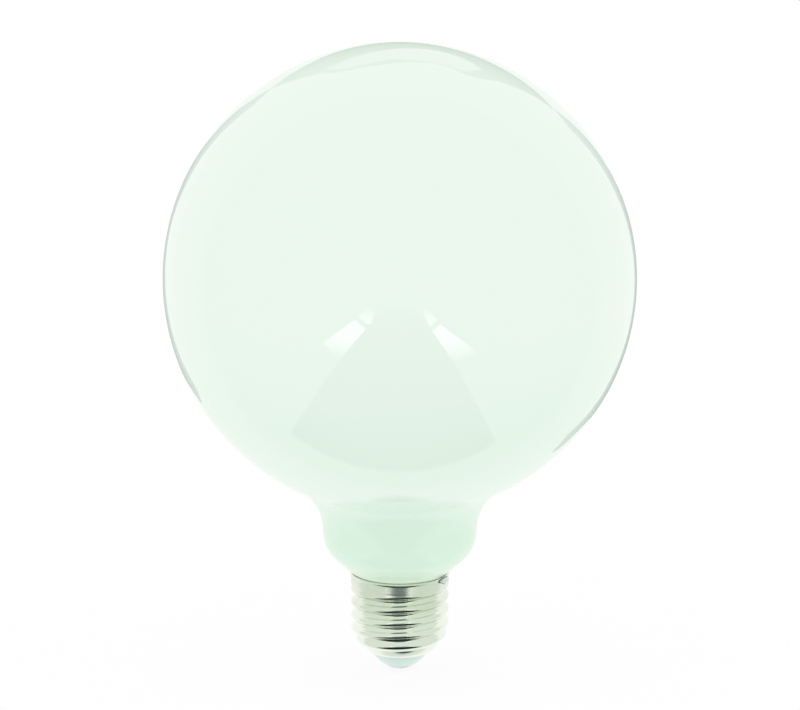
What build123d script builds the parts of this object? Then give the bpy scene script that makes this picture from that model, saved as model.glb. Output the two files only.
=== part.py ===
from build123d import *
import math
import os

# LED globe bulb with an Edison screw cap, standing cap down.
# Millimetres. Origin in the middle of the centre contact's end face, +Z along the axis to the crown.

# globe and waisted neck of the blown glass
globe_diameter = 125.0
waist_radius = 13.8
neck_diameter = 40.9
neck_length = 2.9
neck_taper = 5.0
shoulder_radius = 9.1
throat_angle = 48.0

# screw shell, its thread zone as the cylinder over the crests
cap_height = 26.9
thread_diameter = 26.2
thread_wall = 1.7
skirt_step = 0.12
skirt_wall = 0.25
skirt_length = 4.3
skirt_flare = 0.6
end_chamfer = 2.0
end_angle = 49.0
end_diameter = 16.9
end_height = 5.2
lip_wall = 0.45

# insulator and centre contact
insulator_thickness = 1.8
insulator_end_diameter = 9.6
insulator_end_height = 1.8
recess_wall = 0.25
recess_depth = 0.3
contact_flat = 2.6

# solder bead that holds the side wire on the rim
bead_diameter = 3.6
bead_proud = 0.9
bead_drop = 1.3
bead_angle = -12.0

# clearances
rim_gap = 0.13
cement_gap = 0.15
seat_gap = 0.05

os.makedirs("parts", exist_ok=True)

# radii and heights in the cap that its pieces share
thread_radius = thread_diameter / 2
bore_radius = thread_radius - thread_wall
skirt_radius = thread_radius - skirt_step
skirt_bore_radius = skirt_radius - skirt_wall
skirt_bottom = cap_height - skirt_length
end_radius = end_diameter / 2
hole_radius = end_radius - lip_wall
end_slope = math.tan(math.radians(end_angle))
seat_height = end_height + (bore_radius - hole_radius) / end_slope


# Glass bulb: stub cemented in the shell, throat, shoulder, neck, waist and globe, each tangent to the next
taper = math.radians(neck_taper)
throat = math.radians(throat_angle)
globe_radius = globe_diameter / 2
throat_radius = skirt_bore_radius - rim_gap
stub_radius = bore_radius - cement_gap
stub_bottom = seat_height + insulator_thickness + cement_gap
stub_top = cap_height - (throat_radius - stub_radius) / math.tan(throat)
shoulder_foot = neck_diameter / 2 - shoulder_radius * (math.cos(taper) - math.cos(throat))
throat_top = cap_height + (shoulder_foot - throat_radius) / math.tan(throat)

with BuildPart() as glass_bulb:
    with BuildSketch(Plane.XZ):
        with BuildLine():
            cone = Line((stub_radius, stub_top), (shoulder_foot, throat_top))
            shoulder = JernArc(cone @ 1, cone % 1, shoulder_radius, throat_angle - neck_taper)
            neck = PolarLine(shoulder @ 1, neck_length, 90 - neck_taper)
            # the waist leans out until the globe that follows it has its centre on the axis
            waist_centre_radius = (neck @ 1).X + waist_radius * math.cos(taper)
            waist_lean = math.degrees(math.acos(waist_centre_radius / (globe_radius + waist_radius)))
            waist = JernArc(neck @ 1, neck % 1, waist_radius, neck_taper - waist_lean)
            globe = JernArc(waist @ 1, waist % 1, globe_radius, 90 + waist_lean)
            Polyline(globe @ 1, (0, stub_bottom), (stub_radius, stub_bottom), cone @ 0)
        make_face()
    revolve(axis=Axis.Z)
glass_bulb.part.label = "glass_bulb"
export_step(glass_bulb.part, "parts/glass_bulb.step")


# Screw shell: thin sleeve with a plain skirt, a wider thread zone and a rounded, turned-in end
end_corner = (thread_radius, end_height + (thread_radius - end_radius) / end_slope)

with BuildPart() as screw_shell:
    with BuildSketch(Plane.XZ) as shell_profile:
        with BuildLine():
            Polyline(
                (skirt_bore_radius, cap_height),
                (skirt_radius, cap_height),
                (skirt_radius, skirt_bottom),
                (thread_radius, skirt_bottom - skirt_flare),
                end_corner,
                (end_radius, end_height),
                (hole_radius, end_height),
                (hole_radius, seat_height),
                (bore_radius, seat_height),
                (bore_radius, skirt_bottom),
                (skirt_bore_radius, skirt_bottom),
                close=True,
            )
        make_face()
        chamfer(shell_profile.vertices().sort_by_distance(end_corner)[0], end_chamfer)
    revolve(axis=Axis.Z)
screw_shell.part.label = "screw_shell"
export_step(screw_shell.part, "parts/screw_shell.step")


# Insulator: cone that closes the shell's end, its flange seated on the turned-in lip
insulator_end_radius = insulator_end_diameter / 2
recess_radius = insulator_end_radius - recess_wall
recess_top = insulator_end_height + recess_depth

with BuildPart() as insulator:
    with BuildSketch(Plane.XZ):
        with BuildLine():
            Polyline(
                (0, recess_top),
                (recess_radius, recess_top),
                (recess_radius, insulator_end_height),
                (insulator_end_radius, insulator_end_height),
                (hole_radius - seat_gap, end_height),
                (hole_radius - seat_gap, seat_height),
                (bore_radius - seat_gap, seat_height),
                (bore_radius - seat_gap, seat_height + insulator_thickness),
                (0, seat_height + insulator_thickness),
                close=True,
            )
        make_face()
    revolve(axis=Axis.Z)
insulator.part.label = "insulator"
export_step(insulator.part, "parts/insulator.step")


# Centre contact: button with a flat end, set in the insulator's recess
contact_radius = recess_radius - seat_gap

with BuildPart() as centre_contact:
    with BuildSketch(Plane.XZ):
        with BuildLine():
            Polyline(
                (0, 0),
                (contact_flat / 2, 0),
                (contact_radius, insulator_end_height),
                (contact_radius, recess_top),
                (0, recess_top),
                close=True,
            )
        make_face()
    revolve(axis=Axis.Z)
centre_contact.part.label = "centre_contact"
export_step(centre_contact.part, "parts/centre_contact.step")


# Side solder: bead against the skirt, just under the rim
bead_distance = skirt_radius + bead_proud - bead_diameter / 2
bead_plane = Plane.XY.offset(cap_height - bead_drop).rotated((0, 0, bead_angle))

with BuildPart(bead_plane) as side_solder:
    with Locations((bead_distance, 0)):
        Sphere(bead_diameter / 2)
    Cylinder(skirt_radius + seat_gap, 2 * bead_diameter, mode=Mode.SUBTRACT)
side_solder.part.label = "side_solder"
export_step(side_solder.part, "parts/side_solder.step")
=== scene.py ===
import bpy
import math
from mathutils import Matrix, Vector


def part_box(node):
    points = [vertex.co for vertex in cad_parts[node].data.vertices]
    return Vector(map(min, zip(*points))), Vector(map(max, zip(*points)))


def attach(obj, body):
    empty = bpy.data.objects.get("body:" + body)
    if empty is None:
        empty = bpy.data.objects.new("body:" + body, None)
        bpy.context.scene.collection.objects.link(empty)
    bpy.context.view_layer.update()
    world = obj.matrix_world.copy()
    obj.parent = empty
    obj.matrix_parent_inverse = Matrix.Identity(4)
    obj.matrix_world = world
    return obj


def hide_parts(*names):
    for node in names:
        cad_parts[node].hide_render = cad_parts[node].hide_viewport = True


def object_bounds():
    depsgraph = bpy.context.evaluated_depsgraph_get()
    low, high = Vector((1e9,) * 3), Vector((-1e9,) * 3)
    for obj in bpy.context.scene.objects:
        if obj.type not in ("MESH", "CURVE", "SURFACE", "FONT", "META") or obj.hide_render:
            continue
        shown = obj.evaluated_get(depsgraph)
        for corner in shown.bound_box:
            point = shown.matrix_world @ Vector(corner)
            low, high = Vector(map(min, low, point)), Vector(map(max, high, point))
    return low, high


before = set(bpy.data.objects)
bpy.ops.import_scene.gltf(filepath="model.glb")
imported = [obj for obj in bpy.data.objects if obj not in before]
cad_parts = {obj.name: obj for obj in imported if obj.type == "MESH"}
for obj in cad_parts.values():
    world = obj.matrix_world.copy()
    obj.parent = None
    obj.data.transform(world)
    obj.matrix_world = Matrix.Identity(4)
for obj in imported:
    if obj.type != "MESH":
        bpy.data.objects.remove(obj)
cadLow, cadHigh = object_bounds()
mm = 0.001
print("frame loaded:", ", ".join(sorted(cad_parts)))


# drawing a profile in the XZ plane, x is the radius and z the height, both in mm
pen = Vector((0, 0))                      # where the profile has got to
weld = 0.002                              # points closer than this become one


def startProfile(name, radius, height):
    bpy.ops.object.select_all(action="DESELECT")
    bpy.ops.mesh.primitive_plane_add(size=mm)
    piece = bpy.context.object
    piece.name = name
    piece.data.name = name
    bpy.ops.object.mode_set(mode="EDIT")
    bpy.ops.mesh.select_mode(type="VERT")
    bpy.ops.mesh.select_all(action="SELECT")
    bpy.ops.mesh.merge(type="CENTER")     # the plane becomes one vertex to extrude from
    bpy.ops.transform.translate(value=(radius * mm, 0, height * mm))
    pen[:] = radius, height
    return piece


def lineTo(radius, height, cuts=1):
    run = (Vector((radius, height)) - pen) / cuts
    for cut in range(cuts):
        bpy.ops.mesh.extrude_region_move(TRANSFORM_OT_translate={"value": (run.x * mm, 0, run.y * mm)})
    pen[:] = radius, height


def arcAbout(radius, height, turn, steps):      # turn in degrees, anticlockwise seen from -Y
    centre = Vector((radius, height))
    bpy.ops.mesh.spin(steps=steps, angle=math.radians(turn), axis=(0, 1, 0),
                      center=(radius * mm, 0, height * mm))
    arm = pen - centre
    angle = math.radians(turn)
    pen[:] = (centre.x + arm.x * math.cos(angle) - arm.y * math.sin(angle),
              centre.y + arm.x * math.sin(angle) + arm.y * math.cos(angle))


def turnProfile(columns):                 # the profile goes once round the axis and closes on itself
    bpy.ops.mesh.select_all(action="SELECT")
    bpy.ops.mesh.spin(steps=columns, angle=2 * math.pi, center=(0, 0, 0), axis=(0, 0, 1))
    bpy.ops.mesh.select_all(action="SELECT")
    bpy.ops.mesh.remove_doubles(threshold=weld * mm)
    bpy.ops.mesh.normals_make_consistent(inside=False)
    bpy.ops.object.mode_set(mode="OBJECT")


def pickVertices(piece, test):            # edit mode with only the vertices that pass the test
    bpy.ops.object.mode_set(mode="EDIT")
    bpy.ops.mesh.select_mode(type="VERT")
    bpy.ops.mesh.select_all(action="DESELECT")
    bpy.ops.object.mode_set(mode="OBJECT")
    for vertex in piece.data.vertices:
        vertex.select = test(vertex.co)
    bpy.ops.object.mode_set(mode="EDIT")


def applyModifier(piece, modifier):
    bpy.context.view_layer.objects.active = piece
    bpy.ops.object.modifier_apply(modifier=modifier.name)


def finishPiece(piece, node, material, smoothAngle):
    bpy.ops.object.select_all(action="DESELECT")
    piece.select_set(True)
    bpy.context.view_layer.objects.active = piece
    bpy.ops.object.shade_smooth_by_angle(angle=math.radians(smoothAngle))
    piece.data.materials.clear()
    piece.data.materials.append(material)
    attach(piece, "root")
    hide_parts(node)
    print(piece.name, "has", len(piece.data.polygons), "faces")


# finishes
def startMaterial(name):
    material = bpy.data.materials.new(name)
    material.use_nodes = True
    nodes = material.node_tree.nodes
    return material, nodes, material.node_tree.links, nodes["Principled BSDF"]


def colour(red, green, blue):             # from 8-bit screen values
    return [((c / 255 + 0.055) / 1.055) ** 2.4 for c in (red, green, blue)] + [1]


def addNoise(nodes, links, place, scale, detail):
    noise = nodes.new("ShaderNodeTexNoise")
    noise.inputs["Scale"].default_value = scale
    noise.inputs["Detail"].default_value = detail
    links.new(place, noise.inputs["Vector"])
    return noise.outputs["Fac"]


def addAxis(nodes, links, place, axis):
    split = nodes.new("ShaderNodeSeparateXYZ")
    links.new(place, split.inputs["Vector"])
    return split.outputs[axis]


def addRange(nodes, links, value, fromLow, fromHigh, toLow, toHigh):
    spread = nodes.new("ShaderNodeMapRange")
    spread.inputs["From Min"].default_value = fromLow
    spread.inputs["From Max"].default_value = fromHigh
    spread.inputs["To Min"].default_value = toLow
    spread.inputs["To Max"].default_value = toHigh
    links.new(value, spread.inputs["Value"])
    return spread.outputs["Result"]


def addCloud(nodes, links, place, scale, detail):     # soft patches, from 0 to 1
    return addRange(nodes, links, addNoise(nodes, links, place, scale, detail), 0.35, 0.7, 0, 1)


def addSum(nodes, links, first, second):
    total = nodes.new("ShaderNodeMath")
    total.operation = "ADD"
    links.new(first, total.inputs[0])
    links.new(second, total.inputs[1])
    return total.outputs["Value"]


def addMix(nodes, links, share, first, second):
    mix = nodes.new("ShaderNodeMix")
    mix.data_type = "RGBA"
    links.new(share, mix.inputs["Factor"])
    for socket, value in ((mix.inputs[6], first), (mix.inputs[7], second)):
        if isinstance(value, list):
            socket.default_value = value
        else:
            links.new(value, socket)
    return mix.outputs[2]


def addBump(nodes, links, height, shader, strength, distance):
    bump = nodes.new("ShaderNodeBump")
    bump.inputs["Strength"].default_value = strength
    bump.inputs["Distance"].default_value = distance
    links.new(height, bump.inputs["Height"])
    links.new(bump.outputs["Normal"], shader.inputs["Normal"])


# opal glass bulb
glass = {
    "crown": cadHigh.z / mm,              # top of the globe
    "globeRadius": (cadHigh.x - cadLow.x) / 2 / mm,
    "waistRadius": 13.8,                  # hollow round between globe and neck
    "neckRadius": 20.45,
    "neckLength": 2.9,
    "neckTaper": 5.0,
    "shoulderRadius": 9.1,
    "throatAngle": 48.0,
    "throatRadius": 12.6,                 # where the glass goes into the rim
    "stubRadius": 11.25,                  # cemented part inside the cap
    "columns": 168,
    "smoothAngle": 35,
    "globeColour": colour(235, 248, 238),
    "underShadeColour": colour(229, 246, 232),
    "neckShadeColour": colour(218, 244, 224),
    "throatShadeColour": colour(225, 246, 222),
    "underShadeFade": (0.075, 0.105),          # heights in m over which one tint gives way to the next; these tints are painted shade, darker and greener under the globe and down the neck
    "neckShadeFade": (0.034, 0.058),
    "throatShadeFade": (0.0275, 0.034),
    "cloudColour": colour(238, 248, 240), # faint milky clouds in the glass
    "cloudShare": (0, 0.22),
    "gloss": (0.02, 0.045),               # least and most roughness
    "neckDull": 0.2,                      # added to it on the neck
    "dullFade": (0.05, 0.06),
    "ior": 1.5,
}


def makeOpalGlass():
    g = glass
    material, nodes, links, shader = startMaterial("opalGlass")
    place = nodes.new("ShaderNodeTexCoord").outputs["Object"]
    height = addAxis(nodes, links, place, "Z")
    # painted shade: the glass is made darker and greener under the globe and down the neck
    under = addRange(nodes, links, height, *g["underShadeFade"], 0, 1)
    globe = addMix(nodes, links, under, g["underShadeColour"], g["globeColour"])
    lower = addRange(nodes, links, height, *g["throatShadeFade"], 0, 1)
    neck = addMix(nodes, links, lower, g["throatShadeColour"], g["neckShadeColour"])
    upper = addRange(nodes, links, height, *g["neckShadeFade"], 0, 1)
    body = addMix(nodes, links, upper, neck, globe)
    milk = addNoise(nodes, links, place, scale=22, detail=3)
    cloud = addRange(nodes, links, milk, 0.3, 0.7, *g["cloudShare"])
    links.new(addMix(nodes, links, cloud, body, g["cloudColour"]), shader.inputs["Base Color"])
    smear = addNoise(nodes, links, place, scale=60, detail=4)
    gloss = addRange(nodes, links, smear, 0.35, 0.75, *g["gloss"])
    dull = addRange(nodes, links, height, *g["dullFade"], g["neckDull"], 0)
    links.new(addSum(nodes, links, gloss, dull), shader.inputs["Roughness"])
    uneven = addNoise(nodes, links, place, scale=16, detail=1)          # as blown
    addBump(nodes, links, uneven, shader, strength=0.1, distance=0.0004)
    shader.inputs["IOR"].default_value = g["ior"]
    return material


def makeGlassBulb():
    g = glass
    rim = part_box("screw_shell")[1].z / mm
    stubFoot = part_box("glass_bulb")[0].z / mm
    taper, throat = math.radians(g["neckTaper"]), math.radians(g["throatAngle"])
    shoulderDrop = g["shoulderRadius"] * (math.cos(taper) - math.cos(throat))
    throatTop = rim + (g["neckRadius"] - shoulderDrop - g["throatRadius"]) / math.tan(throat)
    shoulderTop = throatTop + g["shoulderRadius"] * (math.sin(throat) - math.sin(taper))
    outward = Vector((math.cos(taper), -math.sin(taper)))     # square to the neck's side
    neckFoot = Vector((g["neckRadius"], shoulderTop))
    neckTop = neckFoot + g["neckLength"] * Vector((math.sin(taper), math.cos(taper)))
    waist = neckTop + g["waistRadius"] * outward
    waistLean = math.degrees(math.acos(waist.x / (g["globeRadius"] + g["waistRadius"])))
    shoulder = neckFoot - g["shoulderRadius"] * outward
    stubTop = rim - (g["throatRadius"] - g["stubRadius"]) / math.tan(throat)

    piece = startProfile("glassBulb", 0, g["crown"])
    arcAbout(0, g["crown"] - g["globeRadius"], -90 - waistLean, steps=84)
    arcAbout(waist.x, waist.y, waistLean - g["neckTaper"], steps=20)
    lineTo(g["neckRadius"], shoulderTop, cuts=3)
    arcAbout(shoulder.x, shoulder.y, g["neckTaper"] - g["throatAngle"], steps=16)
    lineTo(g["throatRadius"], rim, cuts=6)
    lineTo(g["stubRadius"], stubTop)
    lineTo(g["stubRadius"], stubFoot, cuts=4)
    lineTo(0, stubFoot, cuts=3)
    turnProfile(g["columns"])
    finishPiece(piece, "glass_bulb", makeOpalGlass(), g["smoothAngle"])


# screw shell, rolled from thin sheet
shell = {
    "sheet": 0.3,                         # wall of the sheet
    "lipRadius": 12.66,                   # the rim's edge, above a small hollow round
    "lipFlat": 0.28,
    "lipHeight": 26.88,
    "skirtRadius": 13.08,
    "flareRadius": 0.9,
    "flareTurn": 36.0,
    "flareFoot": 25.95,
    "skirtFoot": 24.4,                    # the skirt swells out to the thread below this
    "swellFoot": 22.9,
    "crestRadius": 13.1,
    "endRound": 8.2,                      # round between the thread and the end's cone
    "endAngle": 49.0,
    "endCorner": 9.24,                    # height where the cone would meet the crests
    "endHeight": 5.2,
    "holeRadius": 8.0,
    "pitch": 3.629,                       # right-hand round thread
    "depth": 1.096,
    "crestAtX": 20.57,                    # height of a crest at +X
    "fadeTop": (24.2, 22.6),              # the groove fades out between these heights
    "fadeFoot": (5.1, 10.7),
    "columns": 144,
    "smoothAngle": 40,
    "lineScale": (300, 300, 2600),        # drawing lines run round the sleeve
    "gloss": (0.09, 0.14),                # least and most roughness
    "skirtDull": 0.13,                    # added to it on the skirt
    "skirtFade": (0.0225, 0.0235),        # heights in m
    "metalColour": colour(231, 238, 224),
    "dullColour": colour(223, 231, 215),
    "litEndColour": colour(238, 244, 232),   # painted light: brighter towards the end, where the threads catch more light from the floor
    "litEndFade": (0.0155, 0.02),
}


def smoothStep(edgeLow, edgeHigh, value):
    share = min(max((value - edgeLow) / (edgeHigh - edgeLow), 0), 1)
    return share * share * (3 - 2 * share)


def grooveShare(point):                   # 0 on a crest, 1 at the bottom of the groove
    s = shell
    height = point.z / mm
    rise = math.atan2(point.y, point.x) / (2 * math.pi) * s["pitch"]
    offset = abs((height - s["crestAtX"] - rise + s["pitch"] / 2) % s["pitch"] - s["pitch"] / 2)
    quarter = s["pitch"] / 4
    arcRadius = (quarter ** 2 + (s["depth"] / 2) ** 2) / s["depth"]      # crest and root are equal arcs
    if offset < quarter:
        sunk = arcRadius - math.sqrt(arcRadius ** 2 - offset ** 2)
    else:
        sunk = s["depth"] - arcRadius + math.sqrt(arcRadius ** 2 - (2 * quarter - offset) ** 2)
    fade = smoothStep(*(s["fadeTop"] if height > s["fadeTop"][1] else s["fadeFoot"]), height)
    return sunk / s["depth"] * fade


def makeCapMetal():
    s = shell
    material, nodes, links, shader = startMaterial("capMetal")
    place = nodes.new("ShaderNodeTexCoord").outputs["Object"]
    height = addAxis(nodes, links, place, "Z")
    stretch = nodes.new("ShaderNodeMapping")
    stretch.inputs["Scale"].default_value = s["lineScale"]
    links.new(place, stretch.inputs["Vector"])
    lines = addNoise(nodes, links, stretch.outputs["Vector"], scale=1, detail=3)
    gloss = addRange(nodes, links, lines, 0.3, 0.7, *s["gloss"])
    dull = addRange(nodes, links, height, *s["skirtFade"], 0, s["skirtDull"])
    links.new(addSum(nodes, links, gloss, dull), shader.inputs["Roughness"])
    cloud = addCloud(nodes, links, place, scale=240, detail=4)
    metal = addMix(nodes, links, cloud, s["metalColour"], s["dullColour"])
    # painted light: the metal is made brighter towards the end, standing in for light from the floor
    litEndShare = addRange(nodes, links, height, *s["litEndFade"], 1, 0)
    links.new(addMix(nodes, links, litEndShare, metal, s["litEndColour"]), shader.inputs["Base Color"])
    addBump(nodes, links, lines, shader, strength=0.05, distance=0.00002)
    shader.inputs["Metallic"].default_value = 1
    return material


def makeScrewShell():
    s = shell
    flare, slope = math.radians(s["flareTurn"]), math.radians(s["endAngle"])
    flareEdge = (s["skirtRadius"] + s["flareRadius"] * (1 - math.cos(flare)),
                 s["flareFoot"] + s["flareRadius"] * math.sin(flare))
    roundTop = s["endCorner"] + s["endRound"] * math.tan(slope / 2)
    piece = startProfile("screwShell", s["lipRadius"], s["lipHeight"])
    lineTo(s["lipRadius"] + s["lipFlat"], s["lipHeight"], cuts=2)
    lineTo(*flareEdge, cuts=3)
    arcAbout(s["skirtRadius"] + s["flareRadius"], s["flareFoot"], s["flareTurn"], steps=10)
    lineTo(s["skirtRadius"], s["skirtFoot"], cuts=8)
    lineTo(s["crestRadius"], s["swellFoot"], cuts=8)
    lineTo(s["crestRadius"], roundTop, cuts=92)
    arcAbout(s["crestRadius"] - s["endRound"], roundTop, -s["endAngle"], steps=62)
    lineTo(pen.x - (pen.y - s["endHeight"]) * math.tan(slope), s["endHeight"], cuts=24)
    lineTo(s["holeRadius"], s["endHeight"], cuts=2)
    turnProfile(s["columns"])
    outerFace = max(piece.data.polygons, key=lambda face: face.center.xy.length)
    if outerFace.normal.xy.dot(outerFace.center.xy) < 0:  # an open sleeve may come out inside out
        bpy.ops.object.mode_set(mode="EDIT")
        bpy.ops.mesh.select_all(action="SELECT")
        bpy.ops.mesh.flip_normals()
        bpy.ops.object.mode_set(mode="OBJECT")

    groove = piece.vertex_groups.new(name="groove")
    for vertex in piece.data.vertices:
        groove.add([vertex.index], grooveShare(vertex.co), "REPLACE")
    roll = piece.modifiers.new("roll", "DISPLACE")       # rolls the groove into the sleeve
    roll.mid_level = 0
    roll.strength = -s["depth"] * mm
    roll.vertex_group = groove.name
    applyModifier(piece, roll)
    wall = piece.modifiers.new("wall", "SOLIDIFY")
    wall.thickness = s["sheet"] * mm
    wall.offset = -1
    applyModifier(piece, wall)
    finishPiece(piece, "screw_shell", makeCapMetal(), s["smoothAngle"])


# insulator between the shell and the centre contact
insulator = {
    "seatRadius": 7.95,
    "seatHeight": 8.3,
    "edgeHeight": 5.3,
    "bulge": 12.0,                        # radius of its slightly domed flank
    "endRadius": 4.8,
    "endHeight": 1.8,
    "recessRadius": 4.55,
    "recessTop": 2.1,
    "columns": 96,
    "smoothAngle": 35,
    "bodyColour": colour(209, 230, 224),
    "paleColour": colour(217, 233, 228),
    "gloss": (0.12, 0.22),                # least and most roughness
}


def makeInsulatorFinish():
    s = insulator
    material, nodes, links, shader = startMaterial("insulatorGloss")
    place = nodes.new("ShaderNodeTexCoord").outputs["Object"]
    cloud = addCloud(nodes, links, place, scale=300, detail=3)
    body = addMix(nodes, links, cloud, s["bodyColour"], s["paleColour"])
    links.new(body, shader.inputs["Base Color"])
    links.new(addRange(nodes, links, cloud, 0, 1, *s["gloss"]), shader.inputs["Roughness"])
    grain = addNoise(nodes, links, place, scale=900, detail=2)
    addBump(nodes, links, grain, shader, strength=0.08, distance=0.00003)
    return material


def makeInsulator():
    s = insulator
    edge, end = Vector((s["seatRadius"], s["edgeHeight"])), Vector((s["endRadius"], s["endHeight"]))
    chord = edge - end
    inward = Vector((-chord.y, chord.x)).normalized()
    bulge = (edge + end) / 2 + inward * math.sqrt(s["bulge"] ** 2 - chord.length_squared / 4)
    bulgeTurn = 2 * math.degrees(math.asin(chord.length / 2 / s["bulge"]))
    piece = startProfile("insulatorRing", 0, s["seatHeight"])
    lineTo(s["seatRadius"], s["seatHeight"], cuts=4)
    lineTo(s["seatRadius"], s["edgeHeight"], cuts=3)
    arcAbout(bulge.x, bulge.y, -bulgeTurn, steps=14)
    lineTo(s["recessRadius"], s["endHeight"])
    lineTo(s["recessRadius"], s["recessTop"])
    lineTo(0, s["recessTop"], cuts=3)
    turnProfile(s["columns"])
    finishPiece(piece, "insulator", makeInsulatorFinish(), s["smoothAngle"])


# domed centre contact
contact = {
    "radius": 4.5,
    "shoulder": 1.85,                     # height of the dome's edge
    "top": 2.1,
    "columns": 72,
    "smoothAngle": 40,
    "metalColour": colour(216, 224, 221),
    "dullColour": colour(202, 213, 210),
    "gloss": (0.2, 0.34),                 # least and most roughness
}


def makeContactMetal():
    s = contact
    material, nodes, links, shader = startMaterial("contactMetal")
    place = nodes.new("ShaderNodeTexCoord").outputs["Object"]
    cloud = addCloud(nodes, links, place, scale=500, detail=4)
    metal = addMix(nodes, links, cloud, s["metalColour"], s["dullColour"])
    links.new(metal, shader.inputs["Base Color"])
    links.new(addRange(nodes, links, cloud, 0, 1, *s["gloss"]), shader.inputs["Roughness"])
    grain = addNoise(nodes, links, place, scale=1400, detail=3)
    addBump(nodes, links, grain, shader, strength=0.12, distance=0.00003)
    shader.inputs["Metallic"].default_value = 1
    return material


def makeCentreContact():
    s = contact
    domeRadius = (s["radius"] ** 2 + s["shoulder"] ** 2) / 2 / s["shoulder"]
    domeTurn = math.degrees(math.asin(s["radius"] / domeRadius))
    piece = startProfile("centreContact", 0, 0)
    arcAbout(0, domeRadius, domeTurn, steps=16)
    lineTo(s["radius"], s["top"])
    lineTo(0, s["top"], cuts=3)
    turnProfile(s["columns"])
    finishPiece(piece, "centre_contact", makeContactMetal(), s["smoothAngle"])


# solder bead on the rim, drawn out to a point towards the front
bead = {
    "angle": -20.0,                       # degrees from +X
    "height": 25.9,
    "length": 2.0,                        # half its run round the skirt
    "tall": 0.85,
    "proud": 0.7,
    "tail": 2.3,                          # how far the point is pulled out
    "tailLift": 0.4,
    "tipShare": 0.9,                      # it is held beyond this part of its half length
    "belly": 0.3,                         # how far it sags
    "bellyDrag": 0.3,                     # and moves towards the point
    "bellyReach": 1.5,
    "soleShare": 0.8,                     # and below this part of its half height
    "seat": 13.08,                        # radius it lies on
    "segments": 40,
    "rings": 24,
    "smoothAngle": 60,
    "metalColour": colour(226, 232, 229),
    "dullColour": colour(208, 215, 211),
    "creaseShadeColour": colour(70, 66, 56),     # painted shade in the crease where it meets the skirt
    "creaseShadeFade": (0.01325, 0.01355),       # distances from the axis in m
    "gloss": (0.14, 0.26),                # least and most roughness
}


def makeSolder():
    s = bead
    material, nodes, links, shader = startMaterial("tinSolder")
    place = nodes.new("ShaderNodeTexCoord").outputs["Object"]
    cloud = addCloud(nodes, links, place, scale=900, detail=4)
    metal = addMix(nodes, links, cloud, s["metalColour"], s["dullColour"])
    flat = nodes.new("ShaderNodeMapping")
    flat.inputs["Scale"].default_value = (1, 1, 0)
    links.new(place, flat.inputs["Vector"])
    reach = nodes.new("ShaderNodeVectorMath")
    reach.operation = "LENGTH"            # distance from the axis
    links.new(flat.outputs["Vector"], reach.inputs[0])
    # painted shade: the bead is darker close to the skirt, where it meets it
    edge = addRange(nodes, links, reach.outputs["Value"], *s["creaseShadeFade"], 0, 1)
    links.new(addMix(nodes, links, edge, s["creaseShadeColour"], metal), shader.inputs["Base Color"])
    links.new(addRange(nodes, links, cloud, 0, 1, *s["gloss"]), shader.inputs["Roughness"])
    grain = addNoise(nodes, links, place, scale=2200, detail=3)
    addBump(nodes, links, grain, shader, strength=0.25, distance=0.00005)
    shader.inputs["Metallic"].default_value = 1
    return material


def makeSideSolder():
    s = bead
    bpy.ops.object.select_all(action="DESELECT")
    bpy.ops.mesh.primitive_uv_sphere_add(segments=s["segments"], ring_count=s["rings"], radius=mm)
    piece = bpy.context.object
    piece.name = "sideSolder"
    piece.data.name = "sideSolder"
    pickVertices(piece, lambda place: place.x < 0)
    bpy.ops.transform.resize(value=(0, 1, 1), center_override=(0, 0, 0))  # flat where it lies on the skirt
    bpy.ops.mesh.select_all(action="SELECT")
    bpy.ops.transform.resize(value=(s["proud"], s["length"], s["tall"]), center_override=(0, 0, 0))
    bpy.ops.object.mode_set(mode="OBJECT")
    pickVertices(piece, lambda place: place.y < -s["tipShare"] * s["length"] * mm)
    bpy.ops.transform.translate(value=(0, -s["tail"] * mm, s["tailLift"] * mm),
                                use_proportional_edit=True, proportional_edit_falloff="SHARP",
                                proportional_size=2 * s["length"] * mm)
    pickVertices(piece, lambda place: place.z < -s["soleShare"] * s["tall"] * mm)
    bpy.ops.transform.translate(value=(0, -s["bellyDrag"] * mm, -s["belly"] * mm),
                                use_proportional_edit=True, proportional_edit_falloff="SMOOTH",
                                proportional_size=s["bellyReach"] * mm)
    bpy.ops.mesh.select_all(action="SELECT")
    bpy.ops.transform.translate(value=(s["seat"] * mm, 0, s["height"] * mm))
    bpy.ops.object.mode_set(mode="OBJECT")
    for vertex in piece.data.vertices:                    # laid round the skirt
        angle = vertex.co.y / (s["seat"] * mm) + math.radians(s["angle"])
        vertex.co.x, vertex.co.y = vertex.co.x * math.cos(angle), vertex.co.x * math.sin(angle)
    finishPiece(piece, "side_solder", makeSolder(), s["smoothAngle"])


makeGlassBulb()
makeScrewShell()
makeInsulator()
makeCentreContact()
makeSideSolder()
print("pieces made")


# floor, and a far room that only shows as reflections
room = {
    "floorSize": 8,
    "floorColour": (0.98, 0.98, 0.98, 1),
    "floorGlow": 0.9,                     # the rest keeps the bulb's shadow
    "deep": -0.94,                        # the far room's dark ground lies this low
    "back": 0.25,                         # the grey wall behind stands here
    "wallTurn": 50.0,                     # side walls lie in planes through the cap's edge
    "wallEdge": (0.0116, -0.0054),
    "white": [1, 1, 1, 1],
    "frontTint": [0.79, 0.84, 0.785, 1],  # what the glass and the metal see of the world
    "backTint": [1.02, 1.01, 1.01, 1],
    "tintFade": (0.26, 0.42),
}


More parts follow.
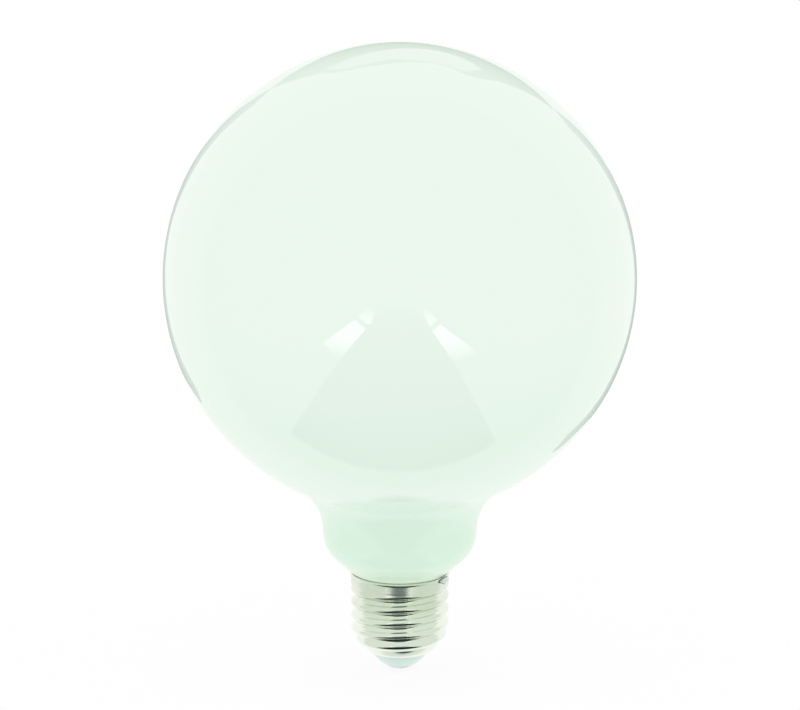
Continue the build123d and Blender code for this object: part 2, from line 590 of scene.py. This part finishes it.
def makeFloor():
    bpy.ops.object.select_all(action="DESELECT")
    bpy.ops.mesh.primitive_plane_add(size=room["floorSize"])
    floor = bpy.context.object
    floor.name = "floor"
    material = bpy.data.materials.new("paleFloor")
    material.use_nodes = True
    nodes, links = material.node_tree.nodes, material.node_tree.links
    nodes.clear()
    output = nodes.new("ShaderNodeOutputMaterial")
    matt = nodes.new("ShaderNodeBsdfDiffuse")
    matt.inputs["Color"].default_value = room["floorColour"]
    mix = nodes.new("ShaderNodeMixShader")
    mix.inputs["Fac"].default_value = room["floorGlow"]
    links.new(matt.outputs["BSDF"], mix.inputs[1])
    links.new(nodes.new("ShaderNodeEmission").outputs["Emission"], mix.inputs[2])
    links.new(mix.outputs["Shader"], output.inputs["Surface"])
    floor.data.materials.append(material)
    floor.visible_glossy = False


def makeCard(name, corners, axis, levels, tint=(1, 1, 1)):      # levels: (place on the axis, brightness)
    bpy.ops.object.select_all(action="DESELECT")
    bpy.ops.mesh.primitive_circle_add(vertices=len(corners), fill_type="NGON")
    card = bpy.context.object
    card.name = name
    for vertex, corner in zip(card.data.vertices, corners):
        vertex.co = corner
    material = bpy.data.materials.new(name)
    material.use_nodes = True
    nodes, links = material.node_tree.nodes, material.node_tree.links
    nodes.clear()
    along = addAxis(nodes, links, nodes.new("ShaderNodeTexCoord").outputs["Object"], axis)
    first, last = levels[0][0], levels[-1][0]
    ramp = nodes.new("ShaderNodeValToRGB")
    links.new(addRange(nodes, links, along, first, last, 0, 1), ramp.inputs["Fac"])
    for place, level in levels[1:-1]:
        ramp.color_ramp.elements.new((place - first) / (last - first))
    for element, (place, level) in zip(ramp.color_ramp.elements, levels):
        element.color = [level * part for part in tint] + [1]
    glow = nodes.new("ShaderNodeEmission")
    links.new(ramp.outputs["Color"], glow.inputs["Color"])
    links.new(glow.outputs["Emission"], nodes.new("ShaderNodeOutputMaterial").inputs["Surface"])
    card.data.materials.append(material)
    card.visible_camera = False
    card.visible_diffuse = False
    card.visible_transmission = False
    card.visible_shadow = False


def lying(height, corners):
    return [(x, y, height) for x, y in corners]


def standing(depth, corners):
    return [(x, depth, z) for x, z in corners]


def edgeOn(side, corners):                # upright, where the cap hardly sees it
    turn = math.radians(room["wallTurn"])
    edgeX, edgeY = room["wallEdge"]
    return [(side * (edgeX + away * math.sin(turn)), edgeY + away * math.cos(turn), z)
            for away, z in corners]


makeFloor()
deep, back = room["deep"], room["back"]
makeCard("groundNear", lying(deep, [(-0.719, 0.06), (-1.024, -1.778), (0.897, -1.805), (0.595, 0.06)]),
         "Y", [(-1.9, 0.13), (-0.9, 0.03), (-0.01, 0.01), (0.06, 0.8)], (0.78, 1, 1))
makeCard("groundFar", lying(deep, [(-1.024, -1.778), (-5, -31), (3.6, -25.5), (0.897, -1.805)]),
         "Y", [(-30, 0.7), (-12, 0.5), (-4.5, 0.24), (-1.8, 0.13)], (0.82, 1, 1))
# light beside the ground, as the cap sees it
makeCard("lightRight", lying(deep, [(0.897, -1.805), (1.191, -4.289), (1.922, -5.599), (1.498, -1.879)]),
         "Y", [(-5.5, 1.4), (-1.8, 1.1)])
makeCard("lightRightFar", lying(deep, [(1.3, -5.156), (2.554, -12.898), (7.119, -33), (2.213, -7.098)]),
         "Y", [(-30, 1), (-5, 1.4)])
makeCard("lightLeft", lying(deep, [(-1.802, -2.358), (-2.646, -6.79), (-1.332, -4.627), (-1.024, -1.778)]),
         "Y", [(-6.5, 1.2), (-1.8, 1)])
makeCard("lightLeftFar", lying(deep, [(-3.042, -8.646), (-9.64, -34.8), (-2.554, -12.9), (-1.425, -5.582)]),
         "Y", [(-30, 1), (-5.5, 1.2)])
# the same light as the globe sees it
makeCard("barRight", lying(0, [(0.097, -0.226), (0.128, -0.492), (0.207, -0.633), (0.162, -0.235)]),
         "Y", [(-0.6, 4), (-0.33, 4), (-0.21, 0.9)])
makeCard("barRightFar", lying(0, [(0.14, -0.585), (0.275, -1.419), (0.767, -3.588), (0.239, -0.794)]),
         "Y", [(-3, 1), (-1.3, 1.8), (-0.6, 3.6)])
makeCard("barLeft", lying(0, [(-0.195, -0.286), (-0.285, -0.761), (-0.144, -0.528), (-0.111, -0.223)]),
         "Y", [(-0.8, 4), (-0.36, 4), (-0.21, 0.9)])
makeCard("barLeftFar", lying(0, [(-0.328, -0.961), (-1.039, -3.785), (-0.275, -1.419), (-0.154, -0.631)]),
         "Y", [(-3, 1), (-1.3, 1.8), (-0.6, 3.6)])
# grey walls behind, with a lamp, in the globe's crown and along its edges
makeCard("backWall", standing(back, [
    (-0.122, 0.238), (-0.122, 0.289), (-0.111, 0.334), (-0.1, 0.36), (0.1, 0.36), (0.13, 0.33),
    (0.141, 0.301), (0.144, 0.255), (0.155, 0.225), (0.116, 0.216), (0.066, 0.204), (0.028, 0.187),
    (0, 0.172), (-0.039, 0.195), (-0.063, 0.214), (-0.088, 0.225)]),
    "X", [(-0.12, 0.62), (0, 0.56), (0.14, 0.45)], (0.79, 1.03, 0.78))
makeCard("leftWall", edgeOn(-1, [
    (0.041, 0.168), (0.061, 0.171), (0.0725, 0.1645), (0.0785, 0.1545), (0.089, 0.131), (0.09, 0.116),
    (0.098, 0.0975), (0.104, 0.077), (0.11, 0.0545), (0.118, 0.041), (0.114, 0.036), (0.0925, 0.044),
    (0.085, 0.047), (0.082, 0.05), (0.076, 0.059), (0.062, 0.075), (0.062, 0.122), (0.0595, 0.145),
    (0.049, 0.162)]),
    "Z", [(0.036, 0.5), (0.168, 0.55)], (0.92, 1, 0.98))
makeCard("rightWall", edgeOn(1, [
    (0.06, 0.165), (0.086, 0.167), (0.0955, 0.1575), (0.102, 0.135), (0.0985, 0.117), (0.0975, 0.104),
    (0.0965, 0.0855), (0.097, 0.056), (0.094, 0.045), (0.098, 0.028), (0.106, 0.006), (0.0925, 0.0115),
    (0.083, 0.016), (0.0775, 0.0165), (0.07, 0.0225), (0.0675, 0.0285), (0.0675, 0.0325), (0.069, 0.0395),
    (0.068, 0.047), (0.06, 0.0605), (0.062, 0.076), (0.063, 0.1), (0.07, 0.1205), (0.0715, 0.1365),
    (0.0655, 0.155)]),
    "Z", [(0.006, 0.47), (0.057, 0.43), (0.168, 0.5)], (0.86, 1, 0.97))
makeCard("backBeam", standing(back - mm, [
    (-0.101, 0.33), (-0.105, 0.375), (-0.08, 0.402), (-0.031, 0.406), (0.002, 0.391), (0.045, 0.373),
    (0.075, 0.374), (0.109, 0.398), (0.128, 0.378), (0.133, 0.33)]),
    "X", [(-0.1, 0.52), (0.13, 0.45)], (0.85, 1, 0.88))
makeCard("backLamp", standing(back - 2 * mm, [
    (-0.099, 0.327), (-0.067, 0.307), (-0.028, 0.281), (0.001, 0.262), (0.022, 0.251), (0.044, 0.255),
    (0.07, 0.273), (0.095, 0.302), (0.099, 0.371), (0.058, 0.365), (0.022, 0.367), (-0.012, 0.362),
    (-0.042, 0.376), (-0.082, 0.38)]),
    "Z", [(0.25, 0.94), (0.38, 0.84)])

world = bpy.data.worlds.new("whiteRoom")
bpy.context.scene.world = world
world.use_nodes = True
nodes, links = world.node_tree.nodes, world.node_tree.links
depth = addAxis(nodes, links, nodes.new("ShaderNodeTexCoord").outputs["Generated"], "Y")
behind = addRange(nodes, links, depth, *room["tintFade"], 0, 1)
tint = addMix(nodes, links, behind, room["frontTint"], room["backTint"])      # brighter behind the bulb
glossy = nodes.new("ShaderNodeLightPath").outputs["Is Glossy Ray"]
links.new(addMix(nodes, links, glossy, room["white"], tint), nodes["Background"].inputs["Color"])
print("stage made")


# camera at the photograph's angle
view = {
    "centre": glass["crown"] - glass["globeRadius"],      # height of the globe's centre
    "distance": 1100.0,
    "elevation": 11.74,
    "pitch": 12.79,                       # the optical axis looks down by this
    "aside": 0.05,
    "lens": 187.56,
    "clipStart": 0.01,
}
lift = math.radians(view["elevation"])
bpy.ops.object.camera_add(
    location=(view["aside"] * mm, -view["distance"] * math.cos(lift) * mm,
              (view["centre"] + view["distance"] * math.sin(lift)) * mm),
    rotation=(math.radians(90 - view["pitch"]), 0, 0))
camera = bpy.context.object
camera.data.lens = view["lens"]
camera.data.clip_start = view["clipStart"]
bpy.context.scene.camera = camera
bpy.context.scene.view_settings.view_transform = "Standard"

print("scene ready")
